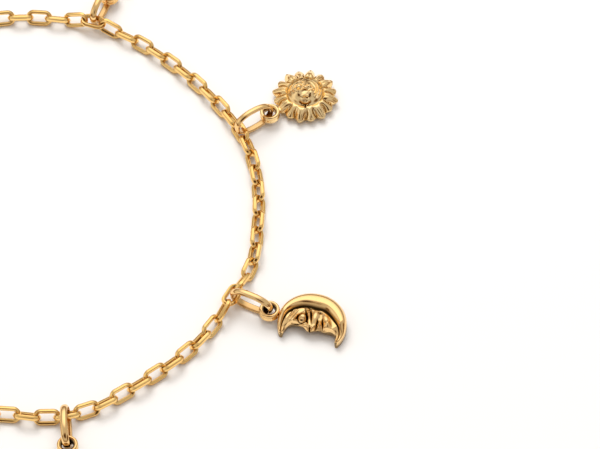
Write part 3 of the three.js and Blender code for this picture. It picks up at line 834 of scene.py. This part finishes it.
@dataclass
class MoonCharm:
    """A crescent moon: a fat smooth rim, a groove, and a face in profile that looks over the inner side."""

    radius: float = 4.2
    relief_height: float = 1.35
    crest: float = 0.69
    rim_height: float = 2.2
    face_height: float = 1.76
    groove_height: float = 1.6
    inner_height: float = 1.25
    edge_height: float = 0.7
    horn_height: float = 1.3
    horn_groove: float = 1.05
    horn_width: float = 0.75
    full_width: float = 2.6
    horn_start: float = 215.0
    horn_end: float = -25.0
    tip_length: float = 0.34
    tip_width: float = 0.62
    tip_rise: float = 0.45
    steps: int = 200
    evenness: float = 0.7
    rim_blend: int = 12
    rim_rows: int = 36
    face_rows: int = 56
    rise: float = 2.7
    fall: float = 1.8
    # Where the painted shade in the groove begins and is full, on the rim and on the face; it is lighter along the
    # horns.
    groove_shade_reach: tuple[tuple[float, float], tuple[float, float]] = ((0.86, 0.99), (0.13, 0.02))
    horn_shade: float = 0.75
    face_rise: float = 0.16
    relief_rise: float = 0.1
    inner_fall: tuple[float, float] = (0.8, 1.02)
    horn_fall: tuple[float, float] = (0.4, 1.0)
    ridge: tuple[float, float] = (0.12, 0.9)  # the part of a half wave that a horn's inner ridge follows
    ridge_bluntness: float = 0.7
    # How the painted shade in hollows is found, and the painted shade on the back and underside.
    hollows: tuple[tuple[int, float], ...] = ((2, 0.07), (4, 0.25))
    back_painted_shade: float = 0.6
    back: Section = ((0.3, 0.0), (0.12, 0.04), (0.03, 0.2), (0.0, 0.5))
    eyelet: Eyelet = field(default_factory=Eyelet)
    inner_side: tuple[tuple[float, float, float], ...] = (
        (0, -0.69, -0.575), (0.07, -0.67, -0.4), (0.2, -0.53, -0.23), (0.38, -0.24, -0.23), (0.5, 0.01, -0.32),
        (0.59, 0.23, -0.21), (0.72, 0.44, -0.19), (0.86, 0.66, -0.13), (0.94, 0.765, -0.2), (1, 0.8, -0.41))
    rim_shares: Section = (
        (0, 0.5), (0.1, 0.55), (0.2, 0.46), (0.38, 0.41), (0.5, 0.41), (0.6, 0.44), (0.72, 0.52), (0.86, 0.58),
        (1, 0.55),
    )
    underside: Section = (
        (0.995, 0.9), (0.95, 0.64), (0.87, 0.36), (0.78, 0.14), (0.7, 0.04), (0.6, 0.0),
    )
    forms: Relief = (
        Form(-2.62, 0.2, 0.1, 0.85, 0.13, -13), Form(-2.32, 0.1, 0.1, 0.75, 0.13, -16),
        Form(-2.02, -0.02, 0.1, 0.5, 0.12, -22), Form(-1.22, 0.0, 0.42, 0.5, 0.3, -20, 4.0),
        Form(-1.2, -0.36, 0.15, 0.13, -0.34), Arc(-1.22, 0.0, 0.62, 0, 360, 0.075, -0.2),
        Form(-1.72, 0.12, 0.085, 0.68, -0.26, -26), Form(-1.2, 0.72, 0.3, 0.09, -0.2, 18),
        Form(-0.82, 0.35, 0.085, 0.95, -0.3, 24), Form(-1.75, -0.8, 0.6, 0.08, -0.24, 6),
        Form(-0.66, 0.75, 0.15, 0.55, 0.22, 22, 2.6), Form(-0.32, 0.6, 0.09, 0.9, -0.28, 20),
        Form(0.2, 0.6, 0.42, 0.85, 0.2, 5, 2.8), Form(0.62, 1.35, 0.2, 0.18, -0.16),
        Form(1.62, 0.5, 0.42, 0.85, 0.22, 36, 2.8), Form(-0.6, -1.0, 0.66, 0.15, 0.22, -16, 2.4),
        Form(0.07, -1.15, 0.07, 0.26, -0.34, 20), Form(0.36, -1.0, 0.2, 0.22, 0.22),
        Form(0.68, -0.3, 0.08, 0.48, -0.32, 8), Form(1.34, -0.05, 0.08, 0.6, -0.34, 19),
        Form(1.02, -0.25, 0.15, 0.45, 0.2, 14), Form(1.98, -0.15, 0.36, 0.45, 0.18, 30, 2.6),
    )

    def outline(self) -> tuple[np.ndarray, np.ndarray, np.ndarray]:
        """Lays the crescent's outline.

        Returns:
            The shares along the crescent, and the points of its outer and inner side opposite each other.
        """
        even = np.linspace(0, 1, self.steps + 1)
        shares = mix((1 - np.cos(even * math.pi)) / 2, even, self.evenness)
        angle = np.radians(mix(self.horn_start, self.horn_end, shares))
        outer = self.radius * np.stack([np.cos(angle), np.sin(angle)], axis=-1)
        at = np.array([row[0] for row in self.inner_side])
        points = np.array([(x * self.radius, y * self.radius, share) for share, x, y in self.inner_side])
        side = Route(points, closed=False)
        place = np.interp(shares, at, np.arange(len(at))) / (len(at) - 1)
        inner = np.array([side.at(share)[:2] for share in place])
        return shares, outer, inner

    def body(self) -> Surface:
        """Builds the cast body round its own middle, with the eyelet towards -X.

        Returns:
            The body.
        """
        shares, outer, inner = self.outline()
        middle = (outer + inner) / 2
        along = np.append(0, np.cumsum(np.linalg.norm(np.diff(middle, axis=0), axis=1)))
        from_tip = np.clip(np.minimum(along, along[-1] - along) / self.tip_length, 0, 1)
        roundness = np.sqrt(1 - (1 - from_tip) ** 2)
        outer, inner = (mix(middle, side, mix(self.tip_width, 1, roundness)[:, None]) for side in (outer, inner))
        fullness = smooth(np.linalg.norm(outer - inner, axis=1), self.horn_width, self.full_width)
        kernel = np.full(2 * self.rim_blend + 1, 1 / (2 * self.rim_blend + 1))
        rim_share = np.interp(shares, *np.array(self.rim_shares).T)
        rim_share = np.convolve(np.pad(rim_share, self.rim_blend, mode="edge"), kernel, mode="valid")
        section, heights, shade = [], [], []

        def add(across: np.ndarray, height: np.ndarray | float, groove: float | None = None) -> None:
            """Adds one corner of the section at every step along the crescent.

            Args:
                across: how far from the outer to the inner side it lies at each step.
                height: its height, which is lowered towards the horns' tips on the front.
                groove: how much painted shade it gets in the groove, from 0 to 1, or None off the front.
            """
            section.append(mix(outer, inner, across[:, None]))
            lowered = height if groove is None else mix(self.edge_height, height, mix(self.tip_rise, 1, roundness))
            heights.append(np.broadcast_to(lowered, across.shape))
            # The painted shade in the groove is lighter along the horns and fades at their tips.
            shade.append((groove or 0.0) * mix(self.horn_shade, 1, fullness) * roundness)

        for share, height in self.back:
            add(rim_share * share, height)
        for share in np.linspace(0, 1, self.rim_rows):
            rise = (1 - (1 - min(share / self.crest, 1)) ** self.rise) ** (1 / self.rise)
            fall = (max(share - self.crest, 0) / (1 - self.crest)) ** self.fall
            dome = mix(self.edge_height, self.rim_height, rise) - (self.rim_height - self.groove_height) * fall
            horn = mix(self.edge_height, self.horn_height, rise) - (self.horn_height - self.horn_groove) * fall
            add(rim_share * share, mix(horn, dome, fullness), smooth(share, *self.groove_shade_reach[0]))
        for share in np.linspace(0.02, 1, self.face_rows):
            across = mix(rim_share, 1, share)
            x, y = mix(outer, inner, across[:, None]).T
            bumps = self.relief_height * relief(self.forms, x, y) * smooth(share, 0.0, self.relief_rise)
            face = mix(self.groove_height, self.face_height, smooth(share, 0.0, self.face_rise)) + bumps
            face -= (self.face_height - self.inner_height) * smooth(share, *self.inner_fall)
            ridge = math.sin(math.pi * mix(*self.ridge, share)) ** self.ridge_bluntness
            low = mix(self.horn_groove, self.edge_height, smooth(share, *self.horn_fall))
            horn = mix(low, self.horn_height, ridge)
            add(across, mix(horn, face, fullness), smooth(share, *self.groove_shade_reach[1]))
        front = slice(len(self.back), len(heights))
        edge = heights[-1]
        for share, height in self.underside:
            add(mix(rim_share, 1, share), edge * height)
        height = np.array(heights).T
        # Painted shade: an even amount on the back and underside, and on the front more in each hollow and in the
        # groove.
        painted_shade = np.full(height.shape, self.back_painted_shade)
        painted_shade[:, front] = np.maximum(recessed(height, self.hollows), np.array(shade).T)[:, front]
        points = np.concatenate([np.array(section).transpose(1, 0, 2), height[..., None]], axis=-1)
        return Surface.loft(points, ring=False, painted_shade=painted_shade)

    def surface(self) -> Surface:
        """Builds the moon with its eyelet over the origin and its middle on +X.

        Returns:
            The moon.
        """
        middle = self.eyelet.reach + self.radius
        neck = self.eyelet.reach + self.eyelet.neck_overlap
        return joined([self.body().shifted(x=middle), *self.eyelet.surfaces(neck)])


@dataclass
class DiscCharm:
    """A plain domed disc, for the charms that the photograph's edge cuts off."""

    radius: float = 3.7
    edge_height: float = 0.8
    height: float = 1.8
    steps: int = 120
    dome_rows: int = 40
    roundness: float = 2.4
    fullness: float = 0.9
    edge: Section = (
        (0.05, 0.0), (0.86, 0.0), (0.9, 0.02), (0.965, 0.2), (0.995, 0.36), (1.0, 0.5), (0.997, 0.8), (0.98, 1.0))
    eyelet: Eyelet = field(default_factory=Eyelet)

    def surface(self) -> Surface:
        """Builds the disc with its eyelet over the origin and its middle on +X.

        Returns:
            The disc.
        """
        profile = [(share * self.radius, height * self.edge_height) for share, height in self.edge]
        for share in np.linspace(0.955, 0.02, self.dome_rows):
            dome = (1 - (share / self.edge[-1][0]) ** self.roundness) ** self.fullness
            profile.append((share * self.radius, mix(self.edge_height, self.height, dome)))
        angle = np.arange(self.steps) / self.steps * 2 * math.pi
        points = [np.column_stack([r * np.cos(angle), r * np.sin(angle), np.full(self.steps, z)]) for r, z in profile]
        body = Surface.loft(np.array(points), ring=False).shifted(x=self.eyelet.reach + self.radius)
        return joined([body, *self.eyelet.surfaces(self.eyelet.reach + self.eyelet.neck_overlap)])


@dataclass
class Clasp:
    """The plain clasp: a flattened barrel with an eye at each end, square to the link in it."""

    sizes: ClaspSizes = field(default_factory=ClaspSizes)
    roundness: float = 2.15
    end_fullness: float = 0.34
    swell: float = 0.8
    end_angle: float = 0.04
    rows: int = 60
    steps: int = 64
    eye_steps: int = 48
    eye_cut: float = 0.35
    eye_section: Section = ((-0.5, -0.25), (-0.5, 0.25), (0, 0.5), (0.5, 0.25), (0.5, -0.25), (0, -0.5))

    def surface(self, chain: Chain) -> Surface:
        """Builds the clasp between the ends of the chain, round the loop's own middle.

        Args:
            chain: the chain that it closes.

        Returns:
            The clasp.
        """
        sizes = self.sizes
        oval, _ = superellipse(sizes.width / 2, chain.height, self.roundness, self.steps)
        rows = []
        for angle in np.linspace(self.end_angle, math.pi - self.end_angle, self.rows):
            along = np.full(self.steps, -math.cos(angle) * sizes.length / 2)
            rows.append(np.column_stack([along, oval * mix(self.end_fullness, 1, math.sin(angle) ** self.swell)]))
        pieces = [Surface.loft(np.array(rows), ring=False)]
        path, outward = superellipse(sizes.eye_radius, sizes.eye_radius, 2, self.eye_steps)
        eye = swept(path, outward, softened(self.eye_section, self.eye_cut), (sizes.eye_wall, sizes.eye_height))
        for end, link in ((-1, chain.count - 1), (1, 0)):
            roll = turn_matrix(math.radians(chain.roll_of(link) + 90), "X")
            pieces.append(eye.moved(roll).shifted(x=end * sizes.eye_offset))
        start, finish = chain.joints[-1], chain.joints[0]
        direction = math.atan2(finish[1] - start[1], finish[0] - start[0])
        return joined(pieces).moved(turn_matrix(direction, "Z", (start + finish) / 2))


class Nodes:
    """The nodes of one tree."""

    def __init__(self, tree: bpy.types.NodeTree) -> None:
        """Keeps the tree.

        Args:
            tree: the tree that gets the nodes.
        """
        self.tree = tree

    def feed(self, node: bpy.types.Node, links: dict[str | int, object]) -> None:
        """Fills inputs of a node.

        Args:
            node: the node.
            links: for each input, a socket to link or a value to set.
        """
        for name, value in links.items():
            if isinstance(value, bpy.types.NodeSocket):
                self.tree.links.new(value, node.inputs[name])
            else:
                node.inputs[name].default_value = value

    def add(self, kind: str, links: dict[str | int, object] | None = None, **settings: object) -> bpy.types.Node:
        """Adds a node.

        Args:
            kind: the node's type, without the word ShaderNode that each begins with.
            links: for each input, a socket to link or a value to set.
            settings: the node's own settings.

        Returns:
            The node.
        """
        node = self.tree.nodes.new("ShaderNode" + kind)
        for name, value in settings.items():
            setattr(node, name, value)
        self.feed(node, links or {})
        return node

    def maths(self, operation: str, *values: object) -> bpy.types.NodeSocket:
        """Returns the result of an operation on sockets or numbers."""
        return self.add("Math", dict(enumerate(values)), operation=operation).outputs[0]

    def ranged(self, *values: object, **settings: object) -> bpy.types.NodeSocket:
        """Maps a value from one range to another.

        Args:
            values: the value, where its range starts and ends, and where the new one does, if that isn't 0 and 1.
            settings: the node's own settings.

        Returns:
            The new value.
        """
        return self.add("MapRange", dict(enumerate(values)), **settings).outputs[0]

    def blended(self, *values: object) -> bpy.types.NodeSocket:
        """Returns the mix of two colours by a share: the share, the first and the second."""
        return self.add("Mix", dict(zip(MIX_INPUTS, values)), data_type="RGBA").outputs[MIX_OUTPUT]


class Group(Nodes):
    """A shader node group with named sockets, which is made once."""

    def __init__(self, name: str, inputs: dict[str, float | Colour], outputs: dict[str, str]) -> None:
        """Makes the group and its sockets.

        Args:
            name: the group's name.
            inputs: each input's name and default, a number or a colour.
            outputs: each output's name and socket type.
        """
        super().__init__(bpy.data.node_groups.new(name, "ShaderNodeTree"))
        for socket, value in inputs.items():
            kind = "NodeSocketFloat" if isinstance(value, float) else "NodeSocketColor"
            self.tree.interface.new_socket(name=socket, in_out="INPUT", socket_type=kind).default_value = value
        for socket, kind in outputs.items():
            self.tree.interface.new_socket(name=socket, in_out="OUTPUT", socket_type=kind)
        self.given = self.tree.nodes.new("NodeGroupInput").outputs
        self.end = self.tree.nodes.new("NodeGroupOutput")


def polish_group() -> bpy.types.NodeTree:
    """Makes the uneven polish of worn gold: hairline scratches and faint smears.

    Returns:
        The group, with Roughness and Height outputs.
    """
    group = Group(
        "worn_polish",
        {"Scratch Scale": 900.0, "Smear Scale": 260.0, "Low": 0.08, "High": 0.22, "Dent": 0.5},
        {"Roughness": "NodeSocketFloat", "Height": "NodeSocketFloat"},
    )
    place = group.add("TexCoord").outputs["Object"]
    scratches = []
    for turn, stretch in SCRATCHES:
        turns = (turn, turn * 1.7, turn * 0.6)
        mapped = group.add("Mapping", {"Vector": place, "Rotation": turns, "Scale": (1.0, stretch, 1.0)}).outputs[0]
        noise = {"Vector": mapped, "Scale": group.given["Scratch Scale"], "Detail": 2.0, "Roughness": 0.6}
        scratches.append(group.ranged(group.add("TexNoise", noise).outputs[0], *SCRATCH_SHARE))
    most = group.maths("MAXIMUM", group.maths("MAXIMUM", *scratches[:2]), scratches[2])
    smear = group.add("TexNoise", {"Vector": place, "Scale": group.given["Smear Scale"], "Detail": 3.0}).outputs[0]
    wear = group.maths("MULTIPLY_ADD", most, SCRATCH_WEAR, smear)
    dent = group.maths("MULTIPLY", most, group.given["Dent"])
    group.feed(group.end, {
        "Roughness": group.ranged(wear, *WEAR_SHARE, group.given["Low"], group.given["High"]),
        "Height": group.maths("SUBTRACT", smear, dent),
    })
    return group.tree


def tone_group() -> bpy.types.NodeTree:
    """Makes the gold's colour: a little paler from place to place, and painted shade of dark orange-brown in hollows
    and where parts meet.

    Returns:
        The group, with the colour and the painted shade mask as outputs.
    """
    group = Group(
        "gold_tone",
        {"Gold": (0.9, 0.6, 0.25, 1.0), "Pale": (1.0, 0.75, 0.42, 1.0), "Shade Colour": (0.25, 0.1, 0.02, 1.0), "Depth": 1.0},
        {"Color": "NodeSocketColor", "Painted Shade": "NodeSocketFloat"},
    )
    place = group.add("TexCoord").outputs["Object"]
    cloud = group.add("TexNoise", {"Vector": place, "Scale": 190.0, "Detail": 4.0}).outputs[0]
    gold = group.blended(group.ranged(cloud, *CLOUD_SHARE), group.given["Gold"], group.given["Pale"])
    # The painted shade mask: the stored painted shade of each corner, scaled by its strength.
    mask = group.maths("MULTIPLY", group.add("Attribute", attribute_name="painted_shade").outputs["Fac"], group.given["Depth"])
    group.feed(group.end, {"Color": group.blended(mask, gold, group.given["Shade Colour"]), "Painted Shade": mask})
    return group.tree


@dataclass(frozen=True)
class GoldFinish:
    """One finish of the yellow gold."""

    name: str
    gold: Colour = (0.92, 0.6, 0.25, 1.0)
    pale: Colour = (0.95, 0.66, 0.32, 1.0)
    # The colour of the painted shade in hollows and where parts meet, and how strong it is.
    shade_colour: Colour = (0.2, 0.065, 0.006, 1.0)
    depth: float = 0.7
    low: float = 0.06
    high: float = 0.17
    scratch_scale: float = 1100.0
    bump: float = 0.05
    bump_distance: float = 0.00002
    recess_dullness: float = 0.22

    def material(self, polish: bpy.types.NodeTree, tone: bpy.types.NodeTree) -> bpy.types.Material:
        """Makes the material.

        Args:
            polish: the worn polish group.
            tone: the gold tone group.

        Returns:
            The material.
        """
        made = bpy.data.materials.new(self.name)
        made.use_nodes = True
        nodes = Nodes(made.node_tree)
        wear = {"Scratch Scale": self.scratch_scale, "Low": self.low, "High": self.high}
        shine = nodes.add("Group", wear, node_tree=polish).outputs
        tones = {"Gold": self.gold, "Pale": self.pale, "Shade Colour": self.shade_colour, "Depth": self.depth}
        colour = nodes.add("Group", tones, node_tree=tone).outputs
        bump = {"Height": shine["Height"], "Strength": self.bump, "Distance": self.bump_distance}
        nodes.feed(made.node_tree.nodes["Principled BSDF"], {
            "Metallic": 1.0,
            "Base Color": colour["Color"],
            "Roughness": nodes.maths("MULTIPLY_ADD", colour["Painted Shade"], self.recess_dullness, shine["Roughness"]),
            "Normal": nodes.add("Bump", bump).outputs[0],
        })
        return made


# Each finish's darkest colour is its painted shade in hollows.
LINKS = GoldFinish(
    "gold_links", gold=(0.94, 0.6, 0.21, 1.0), pale=(0.97, 0.67, 0.27, 1.0), shade_colour=(0.08, 0.022, 0.001, 1.0), depth=0.9)
BANDS = GoldFinish("gold_bands", low=0.05, high=0.14)
CAST = GoldFinish("gold_cast", shade_colour=(0.045, 0.026, 0.006, 1.0), depth=1.0, low=0.13, high=0.25, bump=0.1)
FINE_CAST = GoldFinish(
    "gold_fine_cast", gold=(1.0, 0.7, 0.32, 1.0), pale=(1.0, 0.77, 0.42, 1.0), shade_colour=(0.22, 0.13, 0.045, 1.0),
    depth=0.65, low=0.09, high=0.22, bump=0.12)


@dataclass(frozen=True)
class Patch:
    """One soft round patch of the surroundings: where it is and how far it reaches, in degrees, and its light."""

    azimuth: float
    elevation: float
    inner: float
    outer: float
    light: float

    @property
    def toward(self) -> tuple[float, float, float]:
        """The direction of its middle."""
        rise, turn = math.radians(self.elevation), math.radians(self.azimuth)
        return math.cos(rise) * math.cos(turn), math.cos(rise) * math.sin(turn), math.sin(rise)


@dataclass(frozen=True)
class Lamp:
    """A soft square lamp over the floor, with its place and size in metres and its power in watts."""

    name: str
    place: tuple[float, float, float]
    size: float
    power: float

    def hang(self) -> None:
        """Hangs the lamp, which lights the floor and casts shadows, but isn't mirrored."""
        data = bpy.data.lights.new(self.name, "AREA")
        data.shape, data.size, data.energy = "SQUARE", self.size, self.power
        made = bpy.data.objects.new(self.name, data)
        made.location = self.place
        made.rotation_mode = "QUATERNION"
        made.rotation_quaternion = Vector(self.place).to_track_quat("Z", "Y")
        made.visible_glossy = False
        bpy.context.scene.collection.objects.link(made)


@dataclass
class Studio:
    """The pale floor, the surroundings that the gold mirrors, the lamps and the camera."""

    elevation: float = 54.0
    distance: float = 407.0
    aim: tuple[float, float, float] = (35.70, -2.13, 0.82)
    lens: float = 198.8
    clip: tuple[float, float] = (0.01, 10)
    floor_half: float = 1.5
    floor_tones: tuple[Colour, Colour] = ((0.9, 0.895, 0.885, 1), (0.93, 0.928, 0.92, 1))
    strength: float = 1.75
    tints: tuple[tuple[float, Colour], ...] = (
        (0.0, (0.005, 0.003, 0.001, 1)), (0.12, (0.15, 0.075, 0.025, 1)), (0.36, (0.36, 0.345, 0.33, 1)),
        (1.0, (1.0, 0.965, 0.92, 1)))
    full_height: float = 0.4
    horizon: tuple[float, float] = (0.2, 0.62)
    patches: tuple[Patch, ...] = (
        Patch(90, 52, 4, 36, 1.6), Patch(-90, 55, 10, 24, 0.03), Patch(180, 30, 10, 30, 0.95),
        Patch(-20, 18, 6, 20, 0.1), Patch(-150, 16, 5, 18, 0.1))
    lamps: tuple[Lamp, ...] = (
        Lamp("back_lamp", (-0.1, 0.4, 0.6), 0.4, 2.6), Lamp("top_lamp", (0.2, -0.1, 0.8), 0.6, 1.1))

    def camera(self, shift: np.ndarray) -> None:
        """Sets the camera at the photograph's angle.

        Args:
            shift: the place of the loop's middle in the frame.
        """
        rise = math.radians(self.elevation)
        back = np.array([0, -math.cos(rise), math.sin(rise)]) * self.distance
        data = bpy.data.cameras.new("camera")
        data.lens = self.lens
        data.clip_start, data.clip_end = self.clip
        made = bpy.data.objects.new("camera", data)
        made.location = Vector((np.array(self.aim) + shift + back) * MM)
        made.rotation_euler = (math.pi / 2 - rise, 0, 0)
        bpy.context.scene.collection.objects.link(made)
        bpy.context.scene.camera = made

    def floor(self) -> None:
        """Lays the pale floor, a little uneven in tone."""
        half = self.floor_half
        mesh = bpy.data.meshes.new("floor")
        mesh.from_pydata([(-half, -half, 0), (half, -half, 0), (half, half, 0), (-half, half, 0)], [], [(0, 1, 2, 3)])
        floor = bpy.data.objects.new("floor", mesh)
        bpy.context.scene.collection.objects.link(floor)
        made = bpy.data.materials.new("pale_board")
        made.use_nodes = True
        nodes = Nodes(made.node_tree)
        ramp = nodes.add("ValToRGB", {"Fac": nodes.add("TexNoise", {"Scale": 9.0, "Detail": 3.0}).outputs[0]})
        for element, tone in zip(ramp.color_ramp.elements, self.floor_tones):
            element.color = tone
        shader = {"Base Color": ramp.outputs[0], "Roughness": 0.75, "Specular IOR Level": 0.2}
        nodes.feed(made.node_tree.nodes["Principled BSDF"], shader)
        floor.data.materials.append(made)

    def world(self) -> None:
        """Lights the surroundings, which the gold mirrors: a bright tent, with soft lights and dark gaps."""
        world = bpy.data.worlds.new("studio")
        bpy.context.scene.world = world
        world.use_nodes = True
        nodes = Nodes(world.node_tree)
        place = nodes.add("TexCoord").outputs["Generated"]
        height = nodes.add("SeparateXYZ", {0: place}).outputs["Z"]
        light = nodes.ranged(height, 0.0, self.full_height, *self.horizon)
        for patch in self.patches:
            near = nodes.add("VectorMath", {0: place, 1: patch.toward}, operation="DOT_PRODUCT").outputs["Value"]
            edge, full = (math.cos(math.radians(angle)) for angle in (patch.outer, patch.inner))
            mask = nodes.ranged(near, edge, full, interpolation_type="SMOOTHSTEP")
            light = nodes.add("Mix", {"Factor": mask, "A": light, "B": patch.light}).outputs[0]
        ramp = nodes.add("ValToRGB", {"Fac": nodes.maths("DIVIDE", light, self.strength)})
        steps = ramp.color_ramp.elements
        steps[0].color, steps[1].color = self.tints[0][1], self.tints[-1][1]
        for share, tint in self.tints[1:-1]:
            steps.new(share).color = tint
        nodes.feed(world.node_tree.nodes["Background"], {"Strength": self.strength, "Color": ramp.outputs[0]})

    def build(self, shift: np.ndarray) -> None:
        """Sets up the whole studio.

        Args:
            shift: the place of the loop's middle in the frame.
        """
        self.camera(shift)
        self.floor()
        self.world()
        for lamp in self.lamps:
            lamp.hang()


@dataclass
class Bracelet:
    """The whole bracelet, with each piece over its CAD node."""

    chain: Chain = field(default_factory=Chain)
    ring: CharmRing = field(default_factory=CharmRing)
    clasp: Clasp = field(default_factory=Clasp)

    def __post_init__(self) -> None:
        """Finds the place of the loop's middle in the frame, from where the CAD ring of the sun stands."""
        low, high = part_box("ring_sun")
        middle = np.array((low + high) / 2) / MM
        self.shift = (middle - self.ring.place(self.chain, Charm.SUN).ring) * [1, 1, 0]

    def fit(self, name: str, surface: Surface, node: str, finish: bpy.types.Material) -> None:
        """Makes a piece and puts it in the place of its CAD node.

        Args:
            name: the piece's name.
            surface: its surface, round the loop's own middle.
            node: the CAD node that it stands for.
            finish: its material.
        """
        piece = surface.shifted(*self.shift).made(name)
        piece.data.materials.append(finish)
        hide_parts(node)
        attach(piece, "root")
        LOG.info("%s stands for %s, %d faces", piece.name, node, len(piece.data.polygons))

    def build(self) -> None:
        """Builds and dresses every piece."""
        groups = polish_group(), tone_group()
        links, bands, cast, fine = (finish.material(*groups) for finish in (LINKS, BANDS, CAST, FINE_CAST))
        self.fit("chain_links", self.chain.surface(), "chain", links)
        self.fit("clasp_body", self.clasp.surface(self.chain), "clasp", bands)
        disc, sun, moon = (shape.surface() for shape in (DiscCharm(), SunCharm(), MoonCharm()))
        charms = {Charm.TOP: (disc, cast), Charm.SUN: (sun, fine), Charm.MOON: (moon, cast), Charm.BOTTOM: (disc, cast)}
        for charm, (shape, finish) in charms.items():
            placed = self.ring.place(self.chain, charm)
            self.fit(f"{charm.value}_ring_band", self.ring.surface(placed), f"ring_{charm.value}", bands)
            body = shape.moved(turn_matrix(placed.charm_direction, "Z", placed.eyelet))
            self.fit(f"{charm.value}_charm_cast", body, f"{charm.value}_charm", finish)


def main() -> None:
    """Builds the studio and the bracelet."""
    logging.basicConfig(level=logging.INFO, format="%(name)s: %(message)s")
    bpy.context.scene.view_settings.view_transform = "Standard"
    bracelet = Bracelet()
    Studio().build(bracelet.shift)
    bracelet.build()


if __name__ == "__main__":
    main()
